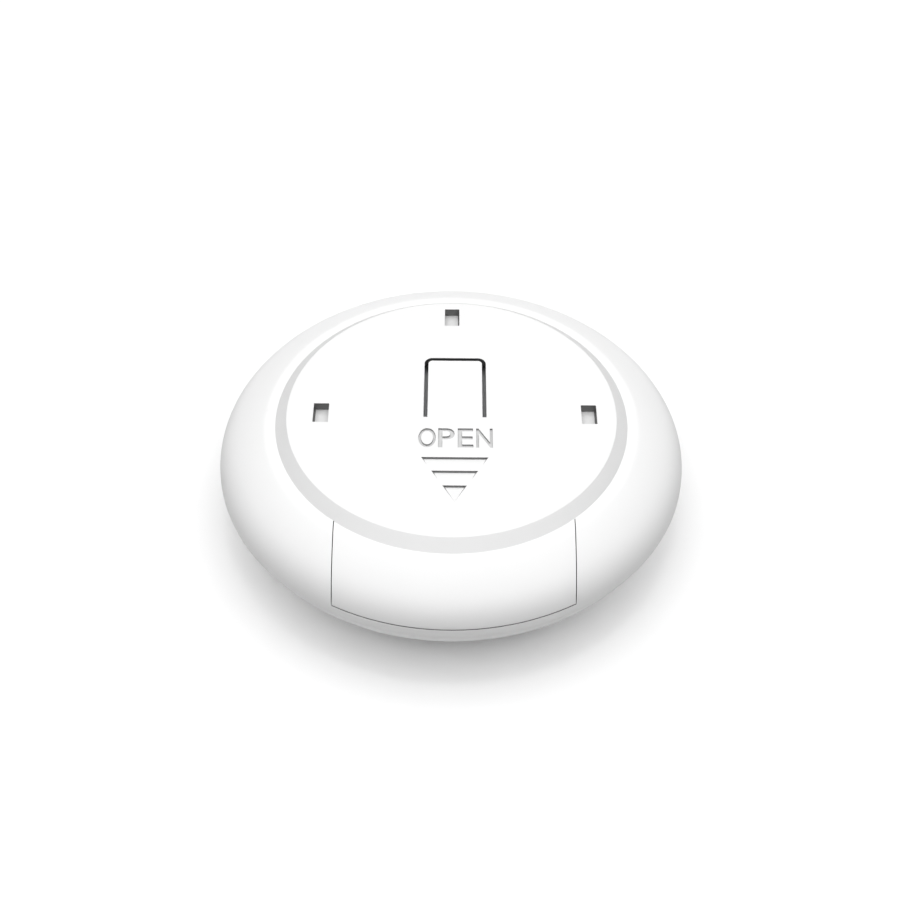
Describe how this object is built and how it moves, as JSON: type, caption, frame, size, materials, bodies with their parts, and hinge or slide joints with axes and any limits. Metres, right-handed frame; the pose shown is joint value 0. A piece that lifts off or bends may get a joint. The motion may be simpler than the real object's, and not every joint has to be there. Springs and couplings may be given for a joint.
{
  "type": "smart button",
  "caption": "Round battery powered wireless push button with a sliding battery cover, latch tongue and wall bracket slots in its back.",
  "frame": {"origin": "centre of the box's bottom face, on the surface that the resting edge lies on", "axes": "+Z out of the back, through the battery cover; -Y the way the cover slides off; +X to the right with the cover's arrow pointing down"},
  "size_m": [0.0652, 0.0652, 0.018],
  "materials": {
    "white_housing": "fine satin moulding",
    "white_cover": "fine satin moulding",
    "white_front": "fine satin moulding",
    "white_cap": "satin, softly polished by use",
    "clear_pipe": "clear moulded plastic",
    "pad_rubber": "soft silicone",
    "switch_plastic": "black moulding",
    "switch_metal": "pressed sheet",
    "plunger_plastic": "moulded",
    "board_laminate": "solder resist",
    "module_laminate": "solder resist",
    "shield_metal": "tinned sheet",
    "crystal_metal": "lidded ceramic",
    "chip_ceramic": "fired ceramic",
    "led_body": "moulded",
    "contact_metal": "nickel plated strip",
    "spring_metal": "nickel plated wire",
    "cell_metal": "nickel plated can",
    "cell_sleeve": "plain printed film",
    "cell_washer": "card washer",
    "screw_metal": "zinc plated"
  },
  "bodies": {
    "case": {"rear_housing": "white_housing", "front_shell": "white_front", "switch_base": "switch_plastic", "switch_lid": "switch_metal", "circuit_board": "board_laminate", "radio_module": "module_laminate", "shield_can": "shield_metal", "crystal": "crystal_metal", "chip_parts": "chip_ceramic", "status_led": "led_body", "positive_contact": "contact_metal", "negative_contact": "contact_metal", "bridge_contact": "contact_metal", "negative_spring": "spring_metal", "bridge_spring": "spring_metal", "left_cell_can": "cell_metal", "left_cell_sleeve": "cell_sleeve", "left_cell_washer": "cell_washer", "left_cell_nub": "cell_metal", "right_cell_can": "cell_metal", "right_cell_sleeve": "cell_sleeve", "right_cell_washer": "cell_washer", "right_cell_nub": "cell_metal", "case_screws": "screw_metal"},
    "cover": {"battery_cover": "white_cover"},
    "latch": {"latch_tongue": "white_cover"},
    "cap": {"button_cap": "white_cap", "light_pipe": "clear_pipe", "actuator_pad": "pad_rubber", "switch_plunger": "plunger_plastic"}
  },
  "joints": [
    {"name": "cover_slide", "type": "slide", "parent": "case", "child": "cover", "axis": [0, -1, 0], "range_m": [0, 0.055]},
    {"name": "latch_press", "type": "hinge", "parent": "cover", "child": "latch", "pos_m": [0.00048, -0.0011, 0.01747], "axis": [-1, 0, 0], "range_deg": [0, 4], "stiffness_Nm_per_rad": 0.1},
    {"name": "cap_press", "type": "slide", "parent": "case", "child": "cap", "axis": [0, 0, 1], "range_m": [0, 0.00025], "stiffness_N_per_m": 4000}
  ]
}
